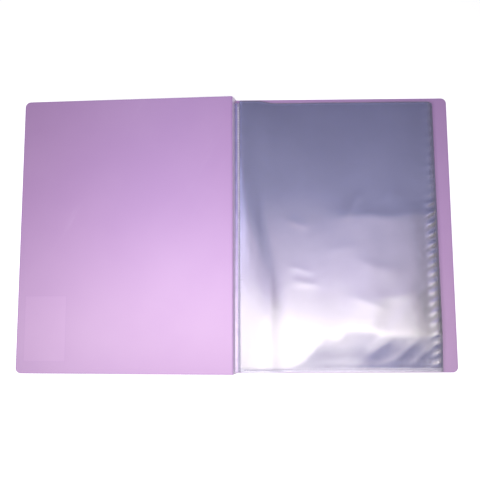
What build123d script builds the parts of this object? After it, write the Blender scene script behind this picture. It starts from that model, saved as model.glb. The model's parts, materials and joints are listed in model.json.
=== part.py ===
# A clear pocket display book lying open: a creased plastic cover of front panel, spine and back panel,
# and a block of clear film pockets welded along the binding edge of the back panel.
# Millimetres. X runs across the open book, Y towards the pocket mouths, Z up. The origin is at the middle
# of the footprint, on the surface that the book lies on.
import math
import os

from build123d import *

# Cover sheet
COVER_WIDTH = 242.0  # crease axis to free edge, each cover
COVER_HEIGHT = 310.0
SHEET = 0.7
CORNER_RADIUS = 6.0
SPINE_WIDTH = 14.0  # crease axis to crease axis
SPINE_TILT = 72.0  # degrees above the surface, with the book lying open
CREASE_GAP = 0.05  # crease bead to panel edge

# Binding, where the film edges are fused
BINDING_WIDTH = 3.0
BINDING_INSET = 0.45  # inner face of the upright spine to the binding

# Pockets
POCKET_COUNT = 20
POCKET_WIDTH = 220.0  # binding to outer edge
POCKET_HEIGHT = 302.5
POCKET_BOTTOM_MARGIN = 1.5  # bottom edge of the cover to the closed end of the pockets
FILM = 0.06
SLOT = 0.06  # room between the two films of an empty pocket
POCKET_GAP = 0.09  # one pocket to the next
BINDING_CLEARANCE = 0.05  # binding to the films that turn about it
AXIS_RISE = 0.2  # top film to the axis that the pockets turn about
BOTTOM_WELD = 4.0
SIDE_WELD = 2.5
MOUTH_CHAMFER = 4.0

# Blank label on the outer face of the front cover
LABEL_WIDTH = 48.0
LABEL_HEIGHT = 73.0
LABEL_THICKNESS = 0.1
LABEL_EDGE_INSET = 8.0  # free edge of the cover to the label
LABEL_BOTTOM_INSET = 12.5

# Creases: the back crease is the zero of the working frame, and the front crease follows from the spine
HALF_SHEET = SHEET / 2
PANEL_START = HALF_SHEET + CREASE_GAP
FRONT_CREASE_X = -SPINE_WIDTH * math.cos(math.radians(SPINE_TILT))
FRONT_CREASE_Z = HALF_SHEET + SPINE_WIDTH * math.sin(math.radians(SPINE_TILT))

# Slope at which the front cover comes down from its crease to rest its free edge on the surface
FRONT_REACH = math.hypot(COVER_WIDTH, HALF_SHEET)
FRONT_SLOPE = math.asin(FRONT_CREASE_Z / FRONT_REACH) - math.atan2(HALF_SHEET, COVER_WIDTH)

# Working frame to the frame of the part
LEFT_EDGE = FRONT_CREASE_X - COVER_WIDTH * math.cos(FRONT_SLOPE) - HALF_SHEET * math.sin(FRONT_SLOPE)
CENTRE_X = (LEFT_EDGE + COVER_WIDTH) / 2

# Pocket block
POCKET_THICKNESS = 2 * FILM + SLOT
POCKET_PITCH = POCKET_THICKNESS + POCKET_GAP
STACK_TOP = SHEET + POCKET_COUNT * POCKET_PITCH
POCKET_BOTTOM = -COVER_HEIGHT / 2 + POCKET_BOTTOM_MARGIN
BINDING_LEFT = HALF_SHEET + BINDING_INSET
BINDING_RADIUS = BINDING_WIDTH / 2
AXIS_X = BINDING_LEFT + BINDING_RADIUS
AXIS_Z = STACK_TOP + AXIS_RISE
POCKET_LEFT = BINDING_LEFT + BINDING_WIDTH + BINDING_CLEARANCE


def block(x_low, x_high, y_low, y_high, z_low, z_high):
    """A box from its lowest to its highest corner."""
    size = Box(x_high - x_low, y_high - y_low, z_high - z_low, align=(Align.MIN, Align.MIN, Align.MIN))
    return Pos(x_low, y_low, z_low) * size


def panel(length):
    """A cover sheet along +X from a crease axis at the origin, its mid-plane on z = 0."""
    half_height = COVER_HEIGHT / 2
    return block(PANEL_START, length, -half_height, half_height, -HALF_SHEET, HALF_SHEET)


def cover_panel():
    """A front or back cover, with the corners of its free edge rounded."""
    sheet = panel(COVER_WIDTH)
    free_edge = sheet.faces().sort_by(Axis.X)[-1]
    return fillet(free_edge.edges().filter_by(Axis.Z), CORNER_RADIUS)


def crease_bead():
    """The pressed line that a cover bends along, as a round bead on the crease axis."""
    return Rot(90, 0, 0) * Cylinder(HALF_SHEET, COVER_HEIGHT)


def at_back_crease(piece):
    return Pos(-CENTRE_X, 0, HALF_SHEET) * piece


def at_front_crease(piece):
    return Pos(FRONT_CREASE_X - CENTRE_X, 0, FRONT_CREASE_Z) * piece


def lean_spine(piece):
    """Turns a piece made along +X to run up the leaning spine."""
    return Rot(0, SPINE_TILT - 180, 0) * piece


def lay_front(piece):
    """Turns a piece made along +X to run down the front cover, its +Z face to the outside of the book."""
    return Rot(0, 180 - math.degrees(FRONT_SLOPE), 0) * piece


def info_label():
    """A plain sticker on the outer face, near the bottom of the free edge."""
    right = COVER_WIDTH - LABEL_EDGE_INSET
    bottom = -COVER_HEIGHT / 2 + LABEL_BOTTOM_INSET
    top = bottom + LABEL_HEIGHT
    return block(right - LABEL_WIDTH, right, bottom, top, HALF_SHEET, HALF_SHEET + LABEL_THICKNESS)


def binding_edge():
    """The fused film edges: a bar on the back cover, round along the axis that the pockets turn about."""
    y_low, y_high = POCKET_BOTTOM, POCKET_BOTTOM + POCKET_HEIGHT
    bar = block(BINDING_LEFT, BINDING_LEFT + BINDING_WIDTH, y_low, y_high, SHEET, AXIS_Z)
    crown = Rot(90, 0, 0) * Cylinder(BINDING_RADIUS, POCKET_HEIGHT)
    return bar + Pos(AXIS_X, (y_low + y_high) / 2, AXIS_Z) * crown


def film(z_low):
    """One film of a pocket, cut across at the outer corner of the mouth."""
    y_low, y_high = POCKET_BOTTOM, POCKET_BOTTOM + POCKET_HEIGHT
    sheet = block(POCKET_LEFT, POCKET_LEFT + POCKET_WIDTH, y_low, y_high, z_low, z_low + FILM)
    mouth_corner = sheet.edges().filter_by(Axis.Z).sort_by(lambda edge: edge.center().X + edge.center().Y)[-1]
    return chamfer(mouth_corner, MOUTH_CHAMFER)


def weld_strips(z_low):
    """The three welds that close a pocket between its films: binding side, outer side and bottom."""
    left, right = POCKET_LEFT, POCKET_LEFT + POCKET_WIDTH
    bottom, mouth = POCKET_BOTTOM, POCKET_BOTTOM + POCKET_HEIGHT
    inside = bottom + BOTTOM_WELD
    z_high = z_low + SLOT
    return [
        block(left, left + SIDE_WELD, inside, mouth, z_low, z_high),
        block(right - SIDE_WELD, right, inside, mouth - MOUTH_CHAMFER, z_low, z_high),
        block(left, right, bottom, inside, z_low, z_high),
    ]


def pocket(level):
    """The rear film with its welds, and the front film, of the pocket that lies level places up the block."""
    rear_low = SHEET + POCKET_GAP + level * POCKET_PITCH
    slot_low = rear_low + FILM
    rear = Compound(children=[film(rear_low), *weld_strips(slot_low)])
    front = film(slot_low + SLOT)
    place = Pos(-CENTRE_X, 0, 0)
    return place * rear, place * front


nodes = {
    "back_cover": at_back_crease(cover_panel()),
    "back_crease": at_back_crease(crease_bead()),
    "spine_panel": at_back_crease(lean_spine(panel(SPINE_WIDTH - PANEL_START))),
    "front_crease": at_front_crease(crease_bead()),
    "front_cover": at_front_crease(lay_front(cover_panel())),
    "info_label": at_front_crease(lay_front(info_label())),
    "binding_edge": Pos(-CENTRE_X, 0, 0) * binding_edge(),
}
for number in range(1, POCKET_COUNT + 1):
    rear_film, front_film = pocket(POCKET_COUNT - number)
    nodes[f"pocket_{number:02d}_rear_film"] = rear_film
    nodes[f"pocket_{number:02d}_front_film"] = front_film

os.makedirs("parts", exist_ok=True)
for name, shape in nodes.items():
    export_step(shape, f"parts/{name}.step")

print(f"back crease at x {-CENTRE_X:.4f}, z {HALF_SHEET:.4f}")
print(f"front crease at x {FRONT_CREASE_X - CENTRE_X:.4f}, z {FRONT_CREASE_Z:.4f}")
print(f"pocket axis at x {AXIS_X - CENTRE_X:.4f}, z {AXIS_Z:.4f}")
print(f"front cover slopes {math.degrees(FRONT_SLOPE):.4f} degrees")
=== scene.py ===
# %% [markdown]
# A clear pocket display book, lying open and empty. Two lilac plastic covers and a narrow spine are bent from
# one sheet, and twenty clear film pockets are welded along the inside of the back cover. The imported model
# gives the frame: the places and main sizes below are read from it, and Blender adds what the plain solids
# lack, which is the slack of the films, their welds, and the finish of each plastic.

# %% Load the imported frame
import json
import math

import bpy
import numpy as np
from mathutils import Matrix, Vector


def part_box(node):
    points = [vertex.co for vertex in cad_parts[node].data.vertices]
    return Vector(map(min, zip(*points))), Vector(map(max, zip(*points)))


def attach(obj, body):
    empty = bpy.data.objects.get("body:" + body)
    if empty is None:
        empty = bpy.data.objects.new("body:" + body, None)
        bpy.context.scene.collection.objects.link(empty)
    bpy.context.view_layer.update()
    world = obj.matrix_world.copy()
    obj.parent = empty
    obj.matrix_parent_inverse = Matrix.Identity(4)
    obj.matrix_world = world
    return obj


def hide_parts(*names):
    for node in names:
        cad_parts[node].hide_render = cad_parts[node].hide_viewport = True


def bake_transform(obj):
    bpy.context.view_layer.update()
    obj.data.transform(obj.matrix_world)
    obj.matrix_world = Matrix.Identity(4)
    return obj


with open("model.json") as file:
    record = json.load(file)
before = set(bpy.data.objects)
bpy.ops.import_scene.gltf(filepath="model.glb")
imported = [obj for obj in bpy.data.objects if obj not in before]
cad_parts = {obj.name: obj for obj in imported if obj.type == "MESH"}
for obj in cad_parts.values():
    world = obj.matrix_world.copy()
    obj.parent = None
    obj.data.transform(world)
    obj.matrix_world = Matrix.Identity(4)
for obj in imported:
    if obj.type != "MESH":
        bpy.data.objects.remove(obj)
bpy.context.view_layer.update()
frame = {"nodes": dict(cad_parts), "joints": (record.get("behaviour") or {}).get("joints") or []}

MM = 0.001
scene = bpy.context.scene

# %% [markdown]
# The view. The book is seen almost straight down, from a little towards the closed ends of the pockets. The
# numbers come from fitting the six corners of the covers. A lens of 37.5 mm on a 36 mm sensor gives the
# mild perspective that makes the near edge look longer than the far one.

# %% Camera
CAMERA_PLACE = (14.2 * MM, -63.7 * MM, 563.0 * MM)
CAMERA_TURN = (0.0988, 0.0150, -0.0059)  # radians about X, Y and Z
lens = bpy.data.cameras.new("view")
lens.lens = 37.5
lens.sensor_width = 36.0
camera = bpy.data.objects.new("view", lens)
camera.location = CAMERA_PLACE
camera.rotation_mode = "ZYX"
camera.rotation_euler = CAMERA_TURN
scene.collection.objects.link(camera)
scene.camera = camera
print("camera at", [round(x, 4) for x in camera.location])

# %% [markdown]
# Small helpers for node trees. Building a material by hand means adding a node, setting its fields, and
# either typing a number into each socket or dragging a wire to it. `add` does these three in one call. The
# others do it for the nodes that are used the most: Math, Map Range, Mix and Texture Coordinate.

# %% Helpers for node trees
def add(tree, kind, inputs=None, **fields):
    """Adds a node, sets its fields, and fills or wires its sockets."""
    made = tree.nodes.new(kind)
    for field, value in fields.items():
        setattr(made, field, value)
    for socket, value in (inputs or {}).items():
        if isinstance(value, bpy.types.NodeSocket):
            tree.links.new(value, made.inputs[socket])
        else:
            made.inputs[socket].default_value = value
    return made


def calc(tree, operation, *values, clamp=False):
    """A Math node's result."""
    numbers = dict(enumerate(values))
    return add(tree, "ShaderNodeMath", numbers, operation=operation, use_clamp=clamp).outputs[0]


def times(tree, first, *others):
    """The product of two or more values."""
    for other in others:
        first = calc(tree, "MULTIPLY", first, other)
    return first


def ramp(tree, value, low, high, to_low=0.0, to_high=1.0):
    """A value carried smoothly from one range to another."""
    numbers = {"Value": value, 1: low, 2: high, 3: to_low, 4: to_high}
    return add(tree, "ShaderNodeMapRange", numbers, interpolation_type="SMOOTHSTEP").outputs[0]


def tint(tree, factor, first, second):
    """Two colours mixed by a factor, each either a socket or three numbers."""
    first, second = (c if isinstance(c, bpy.types.NodeSocket) else (*c, 1.0) for c in (first, second))
    return add(tree, "ShaderNodeMix", {0: factor, 6: first, 7: second}, data_type="RGBA").outputs[2]


def object_place(tree):
    """The shaded point in the object's own coordinates."""
    return tree.nodes.new("ShaderNodeTexCoord").outputs["Object"]


def split(tree, vector):
    """The sockets X, Y and Z of a vector."""
    return add(tree, "ShaderNodeSeparateXYZ", {0: vector}).outputs


def bare_material(name):
    """A new material with one Principled shader wired to its output."""
    material = bpy.data.materials.new(name)
    material.use_nodes = True
    tree = material.node_tree
    return material, tree, tree.nodes["Principled BSDF"]


def wire(tree, output, socket):
    tree.links.new(output, socket)


print("node helpers ready")

# %% [markdown]
# The studio. The floor is white paper: a diffuse white that takes the book's shadow, with some glow of its
# own for the camera and for reflections, so that it reads as a white page without more light on the book. The
# glow grows with the distance from the book, where less light falls. The world is white to the same rays, and
# a dim fill to all others.

# %% Floor and world
PAPER_GLOW, FAR_GLOW = 0.55, 0.92
GLOW_START, GLOW_END = 0.32, 1.05  # metres from the book
FLOOR_DROP = 0.0003  # keeps the paper clear of the underside of the book
WORLD_FILL = 0.22


def seen_rays(tree):
    """1 for what the camera sees, also by way of a mirror or through glass, and 0 for the light itself."""
    path = tree.nodes.new("ShaderNodeLightPath").outputs
    seen = calc(tree, "MAXIMUM", path["Is Camera Ray"], path["Is Glossy Ray"])
    return calc(tree, "MAXIMUM", seen, path["Is Transmission Ray"])


bpy.ops.object.select_all(action="DESELECT")
bpy.ops.mesh.primitive_plane_add(size=8.0, location=(0, 0, -FLOOR_DROP))
floor = bpy.context.object
floor.name = "floor"
paper, tree, shader = bare_material("white_paper")
shader.inputs["Base Color"].default_value = (0.86, 0.86, 0.87, 1)
shader.inputs["Roughness"].default_value = 0.9
shader.inputs["Specular IOR Level"].default_value = 0.0
shader.inputs["Emission Color"].default_value = (1, 1, 1, 1)
away = add(tree, "ShaderNodeVectorMath", {0: object_place(tree)}, operation="LENGTH").outputs["Value"]
glow = ramp(tree, away, GLOW_START, GLOW_END, PAPER_GLOW, FAR_GLOW)
wire(tree, times(tree, seen_rays(tree), glow), shader.inputs["Emission Strength"])
floor.data.materials.append(paper)

world = bpy.data.worlds.new("studio")
scene.world = world
world.use_nodes = True
tree = world.node_tree
tree.nodes.clear()
white = add(tree, "ShaderNodeBackground", {"Color": (1, 1, 1, 1), "Strength": 1.0})
fill = add(tree, "ShaderNodeBackground", {"Color": (0.96, 0.96, 1.0, 1), "Strength": WORLD_FILL})
both = add(tree, "ShaderNodeMixShader", {0: seen_rays(tree), 1: fill.outputs[0], 2: white.outputs[0]})
world.cycles.sampling_method = "NONE"
wire(tree, both.outputs[0], tree.nodes.new("ShaderNodeOutputWorld").inputs[0])
print("floor and world made")

# %% [markdown]
# The overhead card. Clear film shows little but what it mirrors, so what hangs above the book matters most.
# Seen by reflections, the card runs through six shades, from dim blue over the pocket mouths to almost white
# over their lower half, and turns dim again at its near end. Four masks shape it sideways. It darkens to the
# far left and to the right, a strip left of the middle is brighter, for the film that arches up beside the
# binding, and the near end of that strip is dimmed. To all other rays the card is an even grey.

# %% Overhead card
CARD_HEIGHT = 1.05
CARD_FAR, CARD_NEAR = 0.56, -0.64  # the ends of the shades along Y
CARD_STRENGTH = 4.0
CARD_SHADES = (
    (0.03, (0.080, 0.083, 0.165)),
    (0.27, (0.160, 0.163, 0.280)),
    (0.48, (0.450, 0.410, 0.545)),
    (0.65, (1.000, 0.950, 0.960)),
    (0.735, (1.000, 0.950, 0.960)),
    (0.84, (0.200, 0.195, 0.320)),
)
CARD_GREY = (0.062, 0.062, 0.068)
STRIP_GAIN, NEAR_LOSS = 0.7, 0.3

bpy.ops.object.select_all(action="DESELECT")
bpy.ops.mesh.primitive_plane_add(size=2.6, location=(0, 0, CARD_HEIGHT))
card = bpy.context.object
card.name = "overhead_card"
card_paint, tree, shader = bare_material("overhead_card")
axes = split(tree, object_place(tree))
x, y = axes["X"], axes["Y"]
toward = calc(tree, "DIVIDE", calc(tree, "SUBTRACT", CARD_FAR, y), CARD_FAR - CARD_NEAR)
shades = add(tree, "ShaderNodeValToRGB", {0: toward})
stops = shades.color_ramp.elements
while len(stops) < len(CARD_SHADES):
    stops.new(0.5)
for stop, (position, colour) in zip(stops, CARD_SHADES):
    stop.position = position
    stop.color = (*colour, 1)

far_left = ramp(tree, x, -1.00, -0.55, 0.45, 1.0)
right_loss = times(tree, ramp(tree, y, 0.30, -0.10, 0.20, 0.82), ramp(tree, y, -0.46, -0.26, 0.45, 1.0),
                   ramp(tree, x, 0.36, 0.72))
right = calc(tree, "SUBTRACT", 1.0, right_loss)
strip = times(tree, ramp(tree, x, -0.66, -0.36), ramp(tree, x, -0.22, -0.05, 1.0, 0.0),
              ramp(tree, y, -0.10, 0.20, 0.15, 1.0))
near = times(tree, ramp(tree, x, -0.02, -0.20), ramp(tree, y, -0.08, -0.25), ramp(tree, x, -0.60, -0.36))
level = times(tree, far_left, right, calc(tree, "MULTIPLY_ADD", strip, STRIP_GAIN, 1.0),
              calc(tree, "MULTIPLY_ADD", near, -NEAR_LOSS, 1.0))
mirrored = add(tree, "ShaderNodeVectorMath", {0: shades.outputs[0], "Scale": level}, operation="SCALE")
path = tree.nodes.new("ShaderNodeLightPath")
colour = tint(tree, path.outputs["Is Glossy Ray"], CARD_GREY, mirrored.outputs[0])
shader.inputs["Base Color"].default_value = (0.02, 0.02, 0.03, 1)
shader.inputs["Roughness"].default_value = 1.0
wire(tree, colour, shader.inputs["Emission Color"])
shader.inputs["Emission Strength"].default_value = CARD_STRENGTH
card_paint.cycles.emission_sampling = "NONE"
card.data.materials.append(card_paint)
print("overhead card at", CARD_HEIGHT, "m")

# %% [markdown]
# Two soft lamps below the card light the plastic itself, from straight above each half of the book. They are
# hidden from reflections, which would show them as two hard squares.

# %% Soft lamps
LAMP_HEIGHT, LAMP_SIZE = 0.45, 0.22
for name, x, y, power in (("left_softbox", -0.125, -0.085, 1.25), ("right_softbox", 0.09, -0.06, 0.95)):
    lamp = bpy.data.lights.new(name, "AREA")
    lamp.shape = "SQUARE"
    lamp.size = LAMP_SIZE
    lamp.energy = power
    lamp.color = (1.0, 0.98, 0.99)
    holder = bpy.data.objects.new(name, lamp)
    holder.location = (x, y, LAMP_HEIGHT)
    holder.visible_glossy = False
    holder.visible_camera = False
    scene.collection.objects.link(holder)
    print(name, power, "W")

# %% [markdown]
# Finishes that more than one plastic shares are node groups, built once. `fine_grain` is the pebbling that an
# embossing roll leaves on plastic sheet. `handling_marks` are the faint long scuffs that sliding leaves.
# `outline_band` finds what is near the outline of a flat rectangle, where sheet is cut, worn and thin, and
# where painted shade darkens an edge.
# `weld_dots` is the row of pressed points that a sealing bar leaves. Each gives out only a value.

# %% Shared node groups
def new_group(name, inputs, output):
    """An empty shader node group with named sockets."""
    group = bpy.data.node_groups.new(name, "ShaderNodeTree")
    for socket, kind, value in inputs:
        made = group.interface.new_socket(socket, in_out="INPUT", socket_type=kind)
        if value is not None:
            made.default_value = value
    group.interface.new_socket(output, in_out="OUTPUT", socket_type="NodeSocketFloat")
    start = group.nodes.new("NodeGroupInput").outputs
    end = group.nodes.new("NodeGroupOutput").inputs[0]
    return group, start, end


VECTOR, FLOAT = "NodeSocketVector", "NodeSocketFloat"
fine_grain, start, end = new_group(
    "fine_grain", [("Place", VECTOR, None), ("Scale", FLOAT, 900.0), ("Slow Scale", FLOAT, 60.0)], "Height")
pebble = add(fine_grain, "ShaderNodeTexNoise",
             {"Vector": start["Place"], "Scale": start["Scale"], "Detail": 3.0, "Roughness": 0.55})
swell = add(fine_grain, "ShaderNodeTexNoise",
            {"Vector": start["Place"], "Scale": start["Slow Scale"], "Detail": 2.0, "Roughness": 0.5})
height = calc(fine_grain, "MULTIPLY_ADD", swell.outputs["Fac"], 0.8, pebble.outputs["Fac"])
wire(fine_grain, height, end)

handling_marks, start, end = new_group(
    "handling_marks", [("Place", VECTOR, None), ("Turn", FLOAT, 0.4), ("Scale", FLOAT, 40.0)], "Mask")
turned = add(handling_marks, "ShaderNodeVectorRotate",
             {"Vector": start["Place"], "Angle": start["Turn"]}, rotation_type="Z_AXIS")
long_way = add(handling_marks, "ShaderNodeVectorMath",
               {0: turned.outputs[0], 1: (1.0, 0.045, 1.0)}, operation="MULTIPLY")
lines = add(handling_marks, "ShaderNodeTexNoise",
            {"Vector": long_way.outputs[0], "Scale": start["Scale"], "Detail": 6.0, "Roughness": 0.7})
patchy = add(handling_marks, "ShaderNodeTexNoise", {"Vector": start["Place"], "Scale": 14.0, "Detail": 2.0})
thin = ramp(handling_marks, lines.outputs["Fac"], 0.60, 0.68)
mask = times(handling_marks, thin, ramp(handling_marks, patchy.outputs["Fac"], 0.45, 0.70))
wire(handling_marks, mask, end)

outline_band, start, end = new_group(
    "outline_band",
    [("Place", VECTOR, None), ("Low X", FLOAT, 0.0), ("High X", FLOAT, 1.0), ("Low Y", FLOAT, 0.0),
     ("High Y", FLOAT, 1.0), ("Width", FLOAT, 0.001)], "Mask")
axes = split(outline_band, start["Place"])
nearest = []
for axis in ("X", "Y"):
    from_low = calc(outline_band, "SUBTRACT", axes[axis], start["Low " + axis])
    from_high = calc(outline_band, "SUBTRACT", start["High " + axis], axes[axis])
    nearest.append(calc(outline_band, "MINIMUM", from_low, from_high))
share = calc(outline_band, "DIVIDE", calc(outline_band, "MINIMUM", *nearest), start["Width"])
wire(outline_band, ramp(outline_band, share, 0.0, 1.0, 1.0, 0.0), end)

weld_dots, start, end = new_group(
    "weld_dots",
    [("Along", FLOAT, 0.0), ("Across", FLOAT, 0.0), ("Pitch", FLOAT, 3.0), ("Radius", FLOAT, 0.8)], "Mask")
turns = calc(weld_dots, "DIVIDE", start["Along"], start["Pitch"])
step = calc(weld_dots, "SUBTRACT", calc(weld_dots, "FRACT", turns), 0.5)
run = times(weld_dots, step, start["Pitch"])
across_squared = times(weld_dots, start["Across"], start["Across"])
reach = calc(weld_dots, "SQRT", calc(weld_dots, "MULTIPLY_ADD", run, run, across_squared))
wire(weld_dots, ramp(weld_dots, calc(weld_dots, "DIVIDE", reach, start["Radius"]), 0.7, 1.1, 1.0, 0.0), end)


def use(tree, group, inputs):
    """Places a shared group in a material and gives its one output."""
    return add(tree, "ShaderNodeGroup", inputs, node_tree=group).outputs[0]


print("shared groups:", [group.name for group in bpy.data.node_groups])

# %% [markdown]
# The cover sheet is lilac polypropylene, tinted right through and satin from its embossed face. It could be
# one colour, but the real sheet varies: it is deeper in patches and dulled by long scuffs. Along the cut
# edges, where one looks into the sheet, it is darkened by painted shade. On the front cover a blank label on
# the outer face shows through, as a slightly paler and pinker rectangle within a fine line of painted shade.
# The inside of the spine, between its two bends, is paled almost to white: partly the whitening of bent
# sheet, partly painted light for the deep gap beside the binding. Each panel needs its own outline, so the
# material is made by a function that is given the panel's node.

# %% Cover finish
LILAC = (0.49, 0.285, 0.52)
LILAC_DEEP = (0.47, 0.268, 0.505)
LILAC_EDGE_SHADE = (0.33, 0.15, 0.40)
LILAC_WORN = (0.66, 0.50, 0.72)
LILAC_BENT_AND_LIT = (0.88, 0.76, 0.98)
LABEL_GLOW = (0.60, 0.36, 0.62)
joints = {joint["name"]: joint for joint in frame["joints"]}


def outline_of(node, place):
    """The inputs of `outline_band` for a node's box."""
    low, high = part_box(node)
    return {"Place": place, "Low X": low.x, "High X": high.x, "Low Y": low.y, "High Y": high.y}


def whiten_and_light_inside(tree, place, colour, amount):
    """Pales the side of the spine that looks into the book, by the plane through both creases: partly the
    whitening of bent sheet, partly painted light.
    """
    back, front = (np.array(joints[name]["pos_m"]) for name in ("back_crease_fold", "front_crease_fold"))
    run = (front - back) / np.linalg.norm(front - back)
    inward = (run[2], 0.0, -run[0])
    offset = add(tree, "ShaderNodeVectorMath", {0: place, 1: tuple(back)}, operation="SUBTRACT")
    depth = add(tree, "ShaderNodeVectorMath", {0: offset.outputs[0], 1: inward}, operation="DOT_PRODUCT")
    inner = ramp(tree, depth.outputs["Value"], -0.1 * MM, 0.1 * MM, 0.0, amount)
    return tint(tree, inner, colour, LILAC_BENT_AND_LIT)


def show_label(tree, place, colour, label):
    """Lets a label on the other face show through, with a fine line of painted shade round it."""
    low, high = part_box(label)
    axes = split(tree, place)
    sides = []
    for axis in (0, 1):
        sides.append(calc(tree, "GREATER_THAN", axes[axis], low[axis]))
        sides.append(calc(tree, "LESS_THAN", axes[axis], high[axis]))
    inside = times(tree, *sides)
    line = times(tree, use(tree, outline_band, {**outline_of(label, place), "Width": 1.4 * MM}), inside)
    colour = tint(tree, times(tree, inside, 0.22), colour, LABEL_GLOW)
    # Painted shade: the fine line round the label, a little darker than the sheet.
    return tint(tree, times(tree, line, 0.25), colour, LILAC_EDGE_SHADE)


def cover_finish(name, node, label=None, whitened_and_lit=0.0):
    """Lilac sheet for a panel that fills the node's box, with a label showing through where one is given."""
    material, tree, shader = bare_material(name)
    place = object_place(tree)
    rim = use(tree, outline_band, {**outline_of(node, place), "Width": 1.6 * MM})
    wide_rim_shade = use(tree, outline_band, {**outline_of(node, place), "Width": 9 * MM})
    marks = use(tree, handling_marks, {"Place": place, "Turn": 0.5, "Scale": 55.0})
    grain = use(tree, fine_grain, {"Place": place, "Scale": 1500.0, "Slow Scale": 45.0})
    cloud = add(tree, "ShaderNodeTexNoise", {"Vector": place, "Scale": 9.0, "Detail": 3.0}).outputs["Fac"]
    colour = tint(tree, ramp(tree, cloud, 0.35, 0.65), LILAC, LILAC_DEEP)
    # Painted light, with some whitening of the bent sheet, pales the inside of the spine.
    if whitened_and_lit:
        colour = whiten_and_light_inside(tree, place, colour, whitened_and_lit)
    if label:
        colour = show_label(tree, place, colour, label)
    # Painted shade along the cut edges: a wide faint band, then a narrow darker one.
    colour = tint(tree, times(tree, wide_rim_shade, 0.25), colour, LILAC_DEEP)
    colour = tint(tree, times(tree, rim, 0.6), colour, LILAC_EDGE_SHADE)
    colour = tint(tree, times(tree, marks, 0.12), colour, LILAC_WORN)
    wire(tree, colour, shader.inputs["Base Color"])
    rough = calc(tree, "MULTIPLY_ADD", marks, 0.10, calc(tree, "MULTIPLY_ADD", grain, 0.05, 0.27))
    wire(tree, rough, shader.inputs["Roughness"])
    shader.inputs["IOR"].default_value = 1.65
    shader.inputs["Specular IOR Level"].default_value = 1.0
    bump = add(tree, "ShaderNodeBump", {"Height": grain, "Strength": 0.18, "Distance": 0.05 * MM})
    wire(tree, bump.outputs[0], shader.inputs["Normal"])
    return material


def dress(node, material):
    """Gives a CAD node its finish, in every material slot it has."""
    mesh = frame["nodes"][node].data
    if not mesh.materials:
        mesh.materials.append(material)
    for i in range(len(mesh.materials)):
        mesh.materials[i] = material


COVER_FINISHES = {
    "front_cover": cover_finish("front_cover_sheet", "front_cover", "info_label"),
    "spine_panel": cover_finish("spine_sheet", "spine_panel", whitened_and_lit=0.95),
    "back_cover": cover_finish("back_cover_sheet", "back_cover"),
}
for node, material in COVER_FINISHES.items():
    dress(node, material)
print("cover panels dressed:", list(COVER_FINISHES))

# %% [markdown]
# The label is a blank paper sticker on the outer face of the front cover. From inside it only shows through,
# and with the book closed it is in plain sight. It keeps its CAD shape and gets paper fibre and a slightly
# browned edge.

# %% Label finish
LABEL_PAPER, LABEL_FIBRE, LABEL_EDGE = (0.80, 0.76, 0.80), (0.88, 0.85, 0.87), (0.62, 0.54, 0.62)


def label_finish():
    material, tree, shader = bare_material("label_paper")
    place = object_place(tree)
    edge = use(tree, outline_band, {**outline_of("info_label", place), "Width": 1.2 * MM})
    fibre = use(tree, fine_grain, {"Place": place, "Scale": 2600.0, "Slow Scale": 120.0})
    colour = tint(tree, ramp(tree, fibre, 0.6, 1.2), LABEL_PAPER, LABEL_FIBRE)
    colour = tint(tree, times(tree, edge, 0.4), colour, LABEL_EDGE)
    wire(tree, colour, shader.inputs["Base Color"])
    wire(tree, calc(tree, "MULTIPLY_ADD", fibre, 0.15, 0.5), shader.inputs["Roughness"])
    bump = add(tree, "ShaderNodeBump", {"Height": fibre, "Strength": 0.2, "Distance": 0.04 * MM})
    wire(tree, bump.outputs[0], shader.inputs["Normal"])
    return material


dress("info_label", label_finish())
print("label dressed")

# %% [markdown]
# Small helpers for meshes. An operator works on what is selected, so `select_only` comes before each one.
# `flat_grid` starts every sheet piece: Blender's own grid, one unit wide and centred on the origin.
# `get_points` and `set_points` carry all its points to a table and back, where one formula can move them all.

# %% Helpers for meshes
def select_only(piece):
    bpy.ops.object.select_all(action="DESELECT")
    piece.select_set(True)
    bpy.context.view_layer.objects.active = piece


def smooth_shading(piece, degrees=35):
    """Smooth faces, with edges sharper than this angle kept crisp."""
    select_only(piece)
    bpy.ops.object.shade_smooth_by_angle(angle=math.radians(degrees))


def apply_all(piece):
    """Applies a piece's modifiers in their order."""
    select_only(piece)
    for modifier in list(piece.modifiers):
        bpy.ops.object.modifier_apply(modifier=modifier.name)


def join_into(piece, other):
    """Joins another piece into this one, which keeps its name."""
    select_only(piece)
    other.select_set(True)
    bpy.ops.object.join()


def flat_grid(name, columns, rows):
    bpy.ops.object.select_all(action="DESELECT")
    bpy.ops.mesh.primitive_grid_add(x_subdivisions=columns, y_subdivisions=rows, size=1.0)
    piece = bpy.context.object
    piece.name = name
    piece.data.name = name
    return piece


def get_points(mesh):
    flat = np.empty(len(mesh.vertices) * 3)
    mesh.vertices.foreach_get("co", flat)
    return flat.reshape(-1, 3)


def set_points(mesh, points):
    mesh.vertices.foreach_set("co", np.ascontiguousarray(points).ravel())
    mesh.update()


print("mesh helpers ready")

# %% [markdown]
# The two creases. In the real book the sheet itself bends along a pressed line, while the solids have a round
# bead there. The strip starts as a flat grid, which is rolled round the crease in code and given its
# thickness by Solidify.

# %% Crease strips
SHEET = 0.7 * MM
STRIP_WALL = 0.94 * SHEET  # a little thinner than the panels, so that it ends inside them
STRIP_ARM = 1.0 * MM
HEIGHT_LOW, HEIGHT_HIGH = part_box("spine_panel")[0].y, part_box("spine_panel")[1].y


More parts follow.
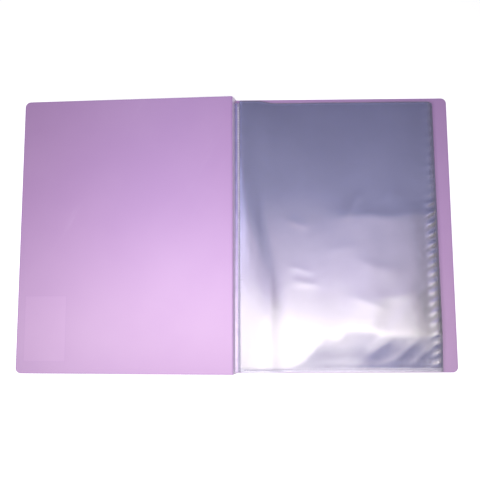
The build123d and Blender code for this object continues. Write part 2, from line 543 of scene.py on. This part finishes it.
def crease_strip(name, joint, first, second, material):
    """A strip rolled round a crease axis, from the first panel's direction to the second's."""
    axis = np.array(joints[joint]["pos_m"])
    piece = flat_grid(name, columns=10, rows=62)
    points = get_points(piece.data)
    t = points[:, 0] + 0.5
    ends = [axis + np.array((d[0], 0.0, d[1])) * STRIP_ARM for d in (first, second)]
    bend = ((1 - t) ** 2)[:, None] * ends[0] + (2 * t * (1 - t))[:, None] * axis + (t ** 2)[:, None] * ends[1]
    bend[:, 1] = HEIGHT_LOW + (points[:, 1] + 0.5) * (HEIGHT_HIGH - HEIGHT_LOW)
    set_points(piece.data, bend)
    wall = piece.modifiers.new("wall", "SOLIDIFY")
    wall.thickness = STRIP_WALL
    wall.offset = 0.0
    apply_all(piece)
    smooth_shading(piece)
    piece.data.materials.append(material)
    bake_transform(piece)
    return piece


def heading(node, joint):
    """The direction in X and Z from a crease axis to the middle of a panel."""
    low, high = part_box(node)
    axis = joints[joint]["pos_m"]
    run = np.array(((low.x + high.x) / 2 - axis[0], (low.z + high.z) / 2 - axis[2]))
    return run / np.linalg.norm(run)


crease_finish = COVER_FINISHES["spine_panel"]
for node, joint, first, second in (
        ("back_crease", "back_crease_fold", "back_cover", "spine_panel"),
        ("front_crease", "front_crease_fold", "spine_panel", "front_cover")):
    strip = crease_strip(node + "_strip", joint, heading(first, joint), heading(second, joint), crease_finish)
    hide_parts(node)
    print(strip.name, len(strip.data.polygons), "faces")

# %% [markdown]
# The films. A pocket is two clear films, welded along the binding, the outer edge and the bottom, and open
# at the top. New film never lies flat: it arches where it leaves the binding, puckers along a weld that
# shrank as it cooled, and pillows above the bottom weld. The relief of this cell and the next is one formula
# for all pockets, in millimetres above the flat film: `d` is the distance from the binding and `e` the
# distance from the bottom. It is never negative, and each film down the block takes a smaller share of it, so
# no film passes through the next.

# %% Relief along the welds
film_low, film_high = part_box("pocket_01_front_film")
WIDTH = (film_high.x - film_low.x) / MM
LENGTH = (film_high.y - film_low.y) / MM
SIDE_WELD, BOTTOM_WELD = 2.5, 4.0
PUCKER_PITCH, PUCKER_SLANT = 11.0, 0.40


def ease(value, low, high):
    """0 below low, 1 above high, and smooth between. With low above high it falls instead."""
    t = np.clip((value - low) / (high - low), 0.0, 1.0)
    return t * t * (3.0 - 2.0 * t)


def hump(value, middle, spread):
    return np.exp(-((value - middle) / spread) ** 2)


def wave(angle):
    """A cosine between 0 and 1."""
    return 0.5 + 0.5 * np.cos(angle)


def binding_arch(d, e):
    """The film leaves the top of the binding, climbs, rounds over and comes down, latest at the mouth."""
    crest = 11.0 + 11.0 * ease(e, 200.0, 50.0)
    climb = 0.5 * (d + crest - np.sqrt((d - crest) ** 2 + 16.0)) + 0.5 * (np.sqrt(crest ** 2 + 16.0) - crest)
    steep = 0.165 - 0.135 * ease(e, 150.0, 270.0)
    mouth = ease(e, LENGTH - 110.0, LENGTH)
    swell = 1.6 * (mouth * ease(d, 44.0, 16.0) + (1.0 - mouth) * ease(d, 28.0, 0.0))
    return steep * climb * (1.0 - ease(d, crest, 2.5 * crest)) + swell


def edge_puckers(d, e):
    """Short slanting ridges along the outer weld, strongest in the middle and steeper on one side."""
    inset = WIDTH - d
    band = ease(inset, 0.7, 4.0) * ease(inset, 15.0, 5.0)
    strong = 0.30 + 0.70 * ease(e, 35.0, 55.0) * ease(e, 200.0, 178.0)
    phase = 2 * math.pi * (e + PUCKER_SLANT * inset) / PUCKER_PITCH + 0.7 * np.sin(e / 17.0)
    phase = phase + 0.6 * np.sin(phase)
    height = 0.52 + 0.35 * ease(e, 110.0, 180.0)
    return height * band * strong * wave(phase)


def bottom_pillow(d, e):
    """The film climbs from the bottom weld on two mountain-shaped slopes, then sinks away slowly."""
    first = 36.0 * hump(d, 95.0, 21.0)
    second = 42.0 * ease(d, 98.0, 116.0) - 6.0 * ease(d, 132.0, 166.0)
    peak = 0.3 + np.sqrt(first ** 2 + second ** 2)
    valley = ease(d, 102.0, 116.0) * ease(d - 131.5 - 0.88 * (e - 14.5), 6.0, -6.0)
    climb = np.maximum(e - BOTTOM_WELD, 0.0)
    soft = 0.01 + 16.0 * ease(peak, 2.0, 12.0)
    level = 0.5 * (climb + peak - np.sqrt((climb - peak) ** 2 + soft) + np.sqrt(peak ** 2 + soft) - peak)
    sink = np.exp(-np.maximum(climb - peak, 0.0) / 150.0)
    slope = 0.038 + 0.016 * ease(d, 105.0, 150.0) - 0.003 * valley + 0.00068 * level
    along_weld = ease(e, 4.0, 7.0) * ease(e, 16.0, 7.0) * ease(d, 60.0, 100.0)
    ripple = 0.06 * wave(2 * math.pi * d / 6.0) * along_weld
    return slope * level * sink + ripple


print("flat film in mm:", round(WIDTH, 2), "by", round(LENGTH, 2))

# %% [markdown]
# Folds and slow waves. Film also keeps soft wrinkles from being packed. Each row of `FOLDS` is one: where it
# starts and ends, as `d` and `e`, how far it slopes off below and above its line, and its height. Slow waves
# and a rippled mouth edge are added, as in any slack sheet.

# %% Relief of folds and waves
FOLD_GAIN = 1.6
FOLDS = (
    ((104.0, 170.0), (224.0, 172.0), 30.0, 16.0, 0.75),
    ((116.0, 168.0), (140.0, 200.0), 3.0, 5.0, 0.22),
    ((150.0, 190.0), (182.0, 196.0), 6.0, 8.0, 0.12),
    ((54.0, 116.0), (80.0, 106.0), 3.0, 5.0, 0.13),
    ((58.0, 100.0), (86.0, 92.0), 3.0, 5.0, 0.15),
    ((56.0, 170.0), (74.0, 158.0), 3.0, 5.0, 0.14),
    ((96.0, 130.0), (132.0, 138.0), 12.0, 9.0, 0.16),
    ((128.0, 122.0), (176.0, 108.0), 12.0, 10.0, 0.18),
    ((122.0, 84.0), (160.0, 66.0), 8.0, 9.0, 0.20),
    ((146.0, 76.0), (196.0, 88.0), 9.0, 10.0, 0.16),
    ((138.0, 12.0), (166.0, 40.0), 5.0, 7.0, 0.10),
    ((160.0, 8.0), (196.0, 34.0), 5.0, 6.0, 0.10),
    ((186.0, 6.0), (210.0, 26.0), 4.0, 5.0, 0.09),
    ((34.0, 120.0), (30.0, 10.0), 9.0, 7.0, 0.25),
)


def along_line(d, e, first, second):
    """How far a point is along a line between two points, from 0 to 1, and how far across it in mm."""
    run = np.array(second, float) - np.array(first, float)
    span = np.hypot(*run)
    along = ((d - first[0]) * run[0] + (e - first[1]) * run[1]) / span ** 2
    across = ((e - first[1]) * run[0] - (d - first[0]) * run[1]) / span
    return along, across


def fold(d, e, first, second, below, above, height):
    """A wandering ridge, crisp if it is narrow, which slopes down to both sides and fades out at its ends."""
    along, across = along_line(d, e, first, second)
    across = across + 1.3 * np.sin(d / 9.0 + e / 12.0)
    soft = max(2.0, 0.04 * below * above)
    ends = ease(along, -0.15, 0.30) * ease(along, 1.15, 0.70)
    slope = np.where(across < 0.0, below, above)
    return height * ends * np.exp(-(np.sqrt(across ** 2 + soft) - math.sqrt(soft)) / slope)


def billow(d, e):
    """The slow waves of a slack sheet."""
    slow = 0.5 + 0.5 * np.sin(d / 31.0 + 0.8 * np.sin(e / 47.0))
    cross = 0.5 + 0.5 * np.sin(e / 38.0 + 1.1 * np.sin(d / 53.0) + 0.6)
    inside = ease(d, 12.0, 50.0) * ease(WIDTH - d, 3.0, 30.0) * ease(e, 4.0, 30.0)
    return inside * (0.18 * slow + 0.14 * cross)


def mouth_ripple(d, e):
    """The free edge at the mouth lifts in shallow waves."""
    lift = 0.5 + 0.5 * np.sin(d / 13.0 + 0.6)
    return 0.30 * ease(e, LENGTH - 28.0, LENGTH) * lift * ease(d, 10.0, 40.0)


def relief(d, e):
    total = binding_arch(d, e) + edge_puckers(d, e) + bottom_pillow(d, e) + billow(d, e) + mouth_ripple(d, e)
    for first, second, below, above, height in FOLDS:
        total = total + fold(d, e, first, second, below, above, FOLD_GAIN * height)
    return total


sampled = relief(*np.meshgrid(np.linspace(0, WIDTH, 200), np.linspace(0, LENGTH, 200)))
print("relief in mm from", sampled.min().round(3), "to", sampled.max().round(3))

# %% [markdown]
# Film finish. Each film is faintly blue-grey and almost clear, so a single pocket shows what lies under it,
# while the whole block, forty films deep, mirrors the studio like a pile of thin plates and hides the lilac.
# Alpha makes the clearness: it is low over the film, higher where films are fused, and highest on the cut
# edge. Near the outer edge and the mouth the film is darkened by painted shade, for the shadow line beside
# the block and its shaded side. The pattern follows the film by its own map, so it stays on the film when a
# pocket is turned.

# %% Film finish
FILM_BLUE, FILM_HAZE = (0.60, 0.585, 0.62), (0.63, 0.615, 0.65)
FILM_MILKY = (0.74, 0.72, 0.80)
FILM_PRESSED = (0.42, 0.40, 0.50)
FILM_EDGE_SHADE = (0.15, 0.10, 0.21)
FILM_RIM = (0.66, 0.60, 0.74)
WELD_PITCH, FINE_PITCH = 3.0, 1.5
CLEAR_LAYERS = 96  # two faces of each of forty films, and some more


def dot_row(tree, along, across, middle, pitch, radius):
    """A row of pressed points at a distance from an edge."""
    aside = calc(tree, "SUBTRACT", across, middle)
    return use(tree, weld_dots, {"Along": along, "Across": aside, "Pitch": pitch, "Radius": radius})


def plane_noise(tree, place, scale, detail):
    noise = {"Vector": place, "Scale": scale, "Detail": detail}
    return add(tree, "ShaderNodeTexNoise", noise, noise_dimensions="2D").outputs["Fac"]


def near_edge(tree, distance, width):
    """1 on a weld of this width along an edge and 0 off it."""
    return ramp(tree, distance, width - 0.4, width, 1.0, 0.0)


def film_finish():
    material, tree, shader = bare_material("clear_film")
    cut = add(tree, "ShaderNodeUVMap", uv_map="cut").outputs[0]
    size = (WIDTH, LENGTH, 0)
    place = add(tree, "ShaderNodeVectorMath", {0: cut, 1: size}, operation="MULTIPLY").outputs[0]
    metres = add(tree, "ShaderNodeVectorMath", {0: place, 1: (MM, MM, MM)}, operation="MULTIPLY").outputs[0]
    axes = split(tree, place)
    d, e = axes["X"], axes["Y"]
    outer = calc(tree, "SUBTRACT", WIDTH, d)
    haze = plane_noise(tree, metres, 16.0, 2.0)
    peel = plane_noise(tree, metres, 380.0, 1.0)

    # Where it is welded, pressed into points, seen edge on and darkened there by painted shade, and cut
    bottom = near_edge(tree, e, BOTTOM_WELD)
    side = near_edge(tree, outer, SIDE_WELD)
    root = near_edge(tree, d, SIDE_WELD)
    welded = calc(tree, "MULTIPLY_ADD", root, 0.3, bottom, clamp=True)
    pressed = calc(tree, "MAXIMUM", dot_row(tree, d, e, 2.6, WELD_PITCH, 0.85),
                   dot_row(tree, d, e, 0.9, FINE_PITCH, 0.4))
    pressed = calc(tree, "MAXIMUM", pressed, dot_row(tree, e, d, 1.2, WELD_PITCH, 0.7))
    free_edges = {"Low X": -5.0, "High X": WIDTH, "Low Y": -5.0, "High Y": LENGTH, "Width": 1.2}
    edge = use(tree, outline_band, {"Place": place, **free_edges})
    # Painted shade along the outer edge, its weld and the mouth, for the shadow line beside the block.
    shaded_edges = calc(tree, "MAXIMUM", edge, times(tree, side, 0.6))
    shaded_edges = calc(tree, "MAXIMUM", shaded_edges, ramp(tree, outer, 1.5, 8.0, 0.35, 0.0))
    rim = calc(tree, "MINIMUM", calc(tree, "MINIMUM", outer, e), calc(tree, "SUBTRACT", LENGTH, e))
    rim = ramp(tree, rim, 0.01, 0.05, 1.0, 0.0)

    # Colour
    colour = tint(tree, ramp(tree, haze, 0.3, 0.7), FILM_BLUE, FILM_HAZE)
    colour = tint(tree, times(tree, welded, 0.6), colour, FILM_MILKY)
    colour = tint(tree, times(tree, pressed, 0.7), colour, FILM_PRESSED)
    # Painted shade near the outer edge and the mouth.
    colour = tint(tree, times(tree, shaded_edges, 0.9), colour, FILM_EDGE_SHADE)
    colour = tint(tree, rim, colour, FILM_RIM)
    wire(tree, colour, shader.inputs["Base Color"])

    # Gloss
    metal = calc(tree, "MULTIPLY_ADD", bottom, -0.20, calc(tree, "MULTIPLY_ADD", shaded_edges, -0.7, 0.87))
    wire(tree, calc(tree, "SUBTRACT", metal, rim, clamp=True), shader.inputs["Metallic"])
    rough = calc(tree, "MULTIPLY_ADD", haze, 0.05, 0.09)
    wire(tree, calc(tree, "MULTIPLY_ADD", welded, 0.12, rough), shader.inputs["Roughness"])
    shader.inputs["IOR"].default_value = 1.5
    shader.inputs["Specular IOR Level"].default_value = 0.7

    # Clearness
    mouth_hem = ramp(tree, e, LENGTH - 3.2, LENGTH - 2.8)
    alpha = calc(tree, "MULTIPLY_ADD", haze, 0.06, 0.12)
    for mask, more in ((welded, 0.22), (mouth_hem, 0.25), (pressed, 0.35), (shaded_edges, 0.35)):
        alpha = calc(tree, "MULTIPLY_ADD", mask, more, alpha)
    wire(tree, calc(tree, "ADD", alpha, rim, clamp=True), shader.inputs["Alpha"])

    # Fine relief, coarser on the bottom weld
    crimp = times(tree, peel, calc(tree, "MULTIPLY_ADD", bottom, 4.0, 1.0))
    bump = add(tree, "ShaderNodeBump", {"Height": crimp, "Strength": 0.2, "Distance": 0.05 * MM})
    wire(tree, bump.outputs[0], shader.inputs["Normal"])
    return material


CLEAR_FILM = film_finish()
scene.cycles.transparent_max_bounces = CLEAR_LAYERS
scene.cycles.max_bounces = 4
scene.cycles.diffuse_bounces = 2
scene.cycles.glossy_bounces = 2
print("film finish made, with", CLEAR_LAYERS, "clear layers allowed on a ray")

# %% [markdown]
# Making the pockets. One flat film is a grid whose columns crowd together near two edges, where the welds and
# puckers are. It is copied for each film, lifted by its share of the relief, and given 0.06 mm of thickness
# by Solidify. The front and rear film of a pocket are then joined into one piece, as the weld joins the real
# ones. The top pocket gets a finer grid, because it is the one that is looked at. No stack of film is trimmed
# dead flush, so each pocket reaches a hair past the one above it, and the block shows its layers. The lower
# pockets cast no shadow: the shadows of so many clear films on one another would make the opened leaves look
# black.

# %% Pocket pieces
FILM = 0.06
SHARE_KEPT = 0.975  # what a pocket takes of the relief of the pocket above it
REAR_SLACK = 0.06  # what a rear film loses of the relief between the welds
WELD_PRESS = 0.05  # how far a weld presses the front film down
MOUTH_CORNER = 4.0
MOUTH_EXCESS = 2.6  # how much longer a film is beside the binding, at the mouth
ROOT_INSET = 0.10  # keeps the films clear of the points on the binding
SIDE_STEP, MOUTH_STEP = 0.10, 0.12  # how far each pocket down the block reaches past the one above it
POCKETS = 20


def crowded(t, amount=0.40):
    """0 to 1, with steps closer together near both ends."""
    return t - amount * np.sin(2 * math.pi * t) / (2 * math.pi)


def flat_film(name, columns, rows):
    """A film lying at its cut size: x is the distance from the binding and y that from the bottom, in mm."""
    piece = flat_grid(name, columns, rows)
    points = get_points(piece.data)
    across = crowded(points[:, 0] + 0.5) * WIDTH
    along = (points[:, 1] + 0.5) * LENGTH
    uv = np.stack([across / WIDTH, along / LENGTH], 1)
    drop = np.sqrt(np.maximum(MOUTH_CORNER ** 2 - np.maximum(along - LENGTH + MOUTH_CORNER, 0.0) ** 2, 0.0))
    across = across - (MOUTH_CORNER - drop) * ease(across, WIDTH - 14.0, WIDTH)
    along = along + MOUTH_EXCESS * ease(along, LENGTH - 30.0, LENGTH) * ease(across, 42.0, 18.0)
    set_points(piece.data, np.stack([across, along, np.zeros(len(points))], 1))
    piece.data.uv_layers[0].name = "cut"
    corners = np.empty(len(piece.data.loops), int)
    piece.data.loops.foreach_get("vertex_index", corners)
    piece.data.uv_layers["cut"].data.foreach_set("uv", uv[corners].ravel())
    return piece


def within_welds(d, e, side, bottom):
    """0 along the three welds and 1 within them, eased over one range at the sides and one at the bottom."""
    return ease(d, *side) * ease(WIDTH - d, *side) * ease(e, *bottom)


def laid_film(pattern, name, node, share, slack, depth):
    """A copy of the flat film, lifted by its share of the relief and put where the CAD film is."""
    piece = pattern.copy()
    piece.data = pattern.data.copy()
    piece.name = name
    scene.collection.objects.link(piece)
    low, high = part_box(node)
    flat = get_points(piece.data)
    d, e = flat[:, 0], flat[:, 1]
    inner = within_welds(d, e, (SIDE_WELD, 12.0), (BOTTOM_WELD, 14.0))
    lift = relief(d, e) * share * (1.0 - slack * inner)
    top = low.z + FILM * MM
    if "front" in node:
        side, bottom = ((weld - 0.6, weld + 0.2) for weld in (SIDE_WELD, BOTTOM_WELD))
        lift = lift - WELD_PRESS * (1.0 - within_welds(d, e, side, bottom))
        top = high.z
    past_side = depth * SIDE_STEP * ease(d, WIDTH - 40.0, WIDTH) + ROOT_INSET * ease(d, 4.0, 0.0)
    past_mouth = depth * MOUTH_STEP * ease(e, LENGTH - 40.0, LENGTH)
    xs = low.x + (d + past_side) * MM
    ys = low.y + (e + past_mouth) * MM
    set_points(piece.data, np.stack([xs, ys, top + lift * MM], 1))
    wall = piece.modifiers.new("film", "SOLIDIFY")
    wall.thickness = FILM * MM
    wall.offset = -1.0
    apply_all(piece)
    return piece


def pocket_piece(number, pattern):
    """Both films of a pocket as one piece."""
    share = SHARE_KEPT ** (number - 1)
    name = f"pocket_{number:02d}"
    front = laid_film(pattern, name + "_films", name + "_front_film", share, 0.0, number - 1)
    rear = laid_film(pattern, name + "_rear", name + "_rear_film", share, REAR_SLACK, number - 1)
    join_into(front, rear)
    front.data.materials.clear()
    front.data.materials.append(CLEAR_FILM)
    smooth_shading(front)
    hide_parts(name + "_front_film", name + "_rear_film")
    return front


fine_film = flat_film("fine_film", columns=132, rows=170)
plain_film = flat_film("plain_film", columns=62, rows=128)
faces = 0
for number in range(POCKETS, 0, -1):
    piece = pocket_piece(number, fine_film if number == 1 else plain_film)
    faces += len(piece.data.polygons)
    if number > 1:
        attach(piece, f"pocket_{number:02d}")
        piece.visible_shadow = False
top_pocket = piece
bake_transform(top_pocket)
for pattern in (fine_film, plain_film):
    bpy.data.objects.remove(pattern)
print(POCKETS, "pockets with", faces, "faces, of which the top one has", len(top_pocket.data.polygons))

# %% [markdown]
# The binding. The film edges are fused into one bar that stands on the back cover beside the spine. It starts
# as a cube of the bar's size. Its upper edges are bevelled round, it is cut level by level where one film
# meets the next, and every second cut is pressed in, so the sides show the edges of the films. The top is a
# little uneven, as melted film is. Its pale sides are painted light, bounced in the gap beside the spine, and
# its top is darkened by painted shade.

# %% Binding bar
bar_low, bar_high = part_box("binding_edge")
BAR_ROUND = 1.3 * MM
LEVELS, LEVEL_STEP, LEVEL_PRESS = 42, 0.135 * MM, 0.13 * MM
STATIONS = 60


def binding_finish(name, side, top):
    """Fused film, with one colour for its sides and one for its top, which on the bar are painted light and
    painted shade.
    """
    material, tree, shader = bare_material(name)
    place = object_place(tree)
    crown = ramp(tree, split(tree, place)["Z"], bar_high.z - 0.9 * MM, bar_high.z - 0.2 * MM)
    grain = use(tree, fine_grain, {"Place": place, "Scale": 1100.0, "Slow Scale": 150.0})
    marks = use(tree, handling_marks, {"Place": place, "Turn": 0.0, "Scale": 90.0})
    colour = tint(tree, crown, side, top)
    colour = tint(tree, ramp(tree, grain, 0.7, 1.1, 0.0, 0.35), colour, (0.50, 0.46, 0.60))
    wire(tree, colour, shader.inputs["Base Color"])
    rough = calc(tree, "MULTIPLY_ADD", marks, 0.1, calc(tree, "MULTIPLY_ADD", grain, 0.12, 0.25))
    wire(tree, rough, shader.inputs["Roughness"])
    shader.inputs["Specular IOR Level"].default_value = 0.7
    bump = add(tree, "ShaderNodeBump", {"Height": grain, "Strength": 0.35, "Distance": 0.12 * MM})
    wire(tree, bump.outputs[0], shader.inputs["Normal"])
    return material


def select_edges(mesh, test):
    """Selects the edges whose two ends pass a test, and nothing else."""
    for part in (mesh.vertices, mesh.edges, mesh.polygons):
        part.foreach_set("select", np.zeros(len(part), bool))
    for edge in mesh.edges:
        edge.select = test(*(mesh.vertices[i].co for i in edge.vertices))


def cut_across(place, normal):
    """Cuts the whole mesh along a plane, in edit mode."""
    bpy.ops.mesh.select_all(action="SELECT")
    bpy.ops.mesh.bisect(plane_co=place, plane_no=normal)


def binding_bar():
    bpy.ops.object.select_all(action="DESELECT")
    bpy.ops.mesh.primitive_cube_add(size=1.0)
    bar = bpy.context.object
    bar.name = "binding_bar"
    points = get_points(bar.data) + 0.5
    set_points(bar.data, np.array(bar_low) + points * (np.array(bar_high) - np.array(bar_low)))
    top = bar_high.z - 1e-6
    select_edges(bar.data, lambda a, b: a.z > top and b.z > top and abs(a.y - b.y) > 0.1)
    levels = [bar_low.z + (i + 0.5) * LEVEL_STEP for i in range(LEVELS)]
    bpy.ops.object.mode_set(mode="EDIT")
    bpy.ops.mesh.select_mode(type="EDGE")
    bpy.ops.mesh.bevel(offset=BAR_ROUND, segments=8, affect="EDGES")
    for level in levels:
        cut_across((0, 0, level), (0, 0, 1))
    for i in range(1, STATIONS):
        cut_across((0, bar_low.y + i * (bar_high.y - bar_low.y) / STATIONS, 0), (0, 1, 0))
    bpy.ops.object.mode_set(mode="OBJECT")
    points = get_points(bar.data)
    middle = (bar_low.x + bar_high.x) / 2
    for level in levels[1::2]:
        ring = np.abs(points[:, 2] - level) < 1e-6
        points[ring, 0] += np.sign(middle - points[ring, 0]) * LEVEL_PRESS
    melt = 0.07 * np.sin(points[:, 1] / MM / 4.1) + 0.05 * np.sin(points[:, 1] / MM / 1.9 + 1.0)
    upper = ease(points[:, 2], bar_high.z - 1.4 * MM, bar_high.z)
    points[:, 2] -= upper * (0.12 + melt) * MM
    set_points(bar.data, points)
    return bar


bar = binding_bar()
# Pale sides: painted light in the gap beside the spine. Top: painted shade.
bar.data.materials.append(binding_finish("fused_film_lit_and_shaded", (0.82, 0.77, 0.92), (0.30, 0.27, 0.40)))
print("binding bar:", len(bar.data.polygons), "faces")

# %% [markdown]
# Points on the binding. The sealing bar left a row of raised points along the top, each a small flattened
# ball. One ball is repeated by an Array modifier, and the row is joined to the bar.

# %% Points on the binding
DOT_PITCH = WELD_PITCH * MM
DOT_SIZE = (1.2 * MM, 1.5 * MM, 0.55 * MM)
dot_count = int((bar_high.y - bar_low.y) / DOT_PITCH) - 1
first_dot = ((bar_low.x + bar_high.x) / 2 + 0.1 * MM, bar_low.y + DOT_PITCH, bar_high.z - 0.21 * MM)


def ball_row(name, count, step, size, place):
    """A row of flattened balls, with the first one at a place."""
    bpy.ops.object.select_all(action="DESELECT")
    bpy.ops.mesh.primitive_uv_sphere_add(segments=8, ring_count=5, radius=0.5)
    row = bpy.context.object
    row.name = name
    set_points(row.data, get_points(row.data) * np.array(size) + np.array(place))
    copies = row.modifiers.new("row", "ARRAY")
    copies.use_relative_offset = False
    copies.use_constant_offset = True
    copies.constant_offset_displace = step
    copies.count = count
    apply_all(row)
    return row


dots = ball_row("binding_points", dot_count, (0, DOT_PITCH, 0), DOT_SIZE, first_dot)
dots.data.materials.append(binding_finish("weld_points", (0.86, 0.83, 0.90), (0.90, 0.87, 0.93)))
join_into(bar, dots)
smooth_shading(bar)
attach(bar, "back_cover")
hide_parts("binding_edge")
print("binding bar:", len(bar.data.polygons), "faces, with", dot_count, "pressed points")

# %% [markdown]
# The binding margin. Left of the weld points the fused films go on for a few millimetres, to the inside of
# the spine, and this strip mirrors the studio like the block does. It is a flat grid laid from the bar to the
# spine, with a slight sag.

# %% Binding margin
MARGIN_LEFT, MARGIN_RIGHT = 0.02 * MM, bar_low.x + 0.5 * MM
MARGIN_HEIGHT = 7.45 * MM
MARGIN_WALL = 0.12 * MM


def margin_finish():
    material, tree, shader = bare_material("binding_margin")
    grain = use(tree, fine_grain, {"Place": object_place(tree), "Scale": 700.0, "Slow Scale": 90.0})
    colour = tint(tree, ramp(tree, grain, 0.7, 1.1), (0.34, 0.29, 0.38), (0.40, 0.345, 0.44))
    wire(tree, colour, shader.inputs["Base Color"])
    shader.inputs["Metallic"].default_value = 0.75
    wire(tree, calc(tree, "MULTIPLY_ADD", grain, 0.06, 0.14), shader.inputs["Roughness"])
    bump = add(tree, "ShaderNodeBump", {"Height": grain, "Strength": 0.15, "Distance": 0.05 * MM})
    wire(tree, bump.outputs[0], shader.inputs["Normal"])
    return material


margin = flat_grid("binding_margin", columns=8, rows=62)
points = get_points(margin.data)
t = points[:, 0] + 0.5
sag = 0.25 * np.sin(math.pi * t) ** 2 + 0.05 * np.sin(points[:, 1] * 61.0) * np.sin(math.pi * t)
set_points(margin.data, np.stack([
    MARGIN_LEFT + t * (MARGIN_RIGHT - MARGIN_LEFT),
    bar_low.y + (points[:, 1] + 0.5) * (bar_high.y - bar_low.y),
    MARGIN_HEIGHT - sag * MM], 1))
wall = margin.modifiers.new("wall", "SOLIDIFY")
wall.thickness = MARGIN_WALL
apply_all(margin)
smooth_shading(margin)
margin.data.materials.append(margin_finish())
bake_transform(margin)
print("binding margin:", len(margin.data.polygons), "faces")

# %% [markdown]
# The bottom weld of the top pocket. The sealing tool presses a row of points there too, 3 mm apart, and a
# finer second row towards the outer edge. They are made like the row on the binding, and every ball is then
# lifted to the film under it.

# %% Weld points of the top pocket
# The points are real; their near-black colour is painted shade, for how they look against the mirrored light.
WELD_POINT_SHADE = (0.08, 0.06, 0.11)
POINT_SINK = 0.05


def weld_row(name, first, last, pitch, e, size):
    """A row of flattened balls on the top film, at a distance e from the bottom edge, in mm."""
    count = int((last - first) / pitch) + 1
    start = (film_low.x + first * MM, film_low.y + e * MM, film_high.z)
    row = ball_row(name, count, (pitch * MM, 0, 0), np.array(size) * MM, start)
    points = get_points(row.data)
    middles = first + pitch * np.round(((points[:, 0] - film_low.x) / MM - first) / pitch)
    points[:, 2] += (relief(middles, np.full(len(middles), e)) - POINT_SINK) * MM
    set_points(row.data, points)
    return row


coarse = weld_row("pocket_01_weld_points", 5.0, WIDTH - 5.0, WELD_PITCH, 2.6, (1.35, 1.4, 0.32))
fine = weld_row("pocket_01_fine_points", 56.0, WIDTH - 4.0, FINE_PITCH, 1.1, (0.7, 0.6, 0.22))
join_into(coarse, fine)
# Painted shade: the bottom weld points are near-black all over.
weld_paint = binding_finish("bottom_weld_points", WELD_POINT_SHADE, WELD_POINT_SHADE)
weld_paint.node_tree.nodes["Principled BSDF"].inputs["Specular IOR Level"].default_value = 0.15
coarse.data.materials.append(weld_paint)
smooth_shading(coarse)
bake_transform(coarse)
print("bottom weld:", len(coarse.data.polygons), "faces")

# %% [markdown]
# Last, the Standard view transform shows colours as they are written.

# %% View transform
scene.view_settings.view_transform = "Standard"
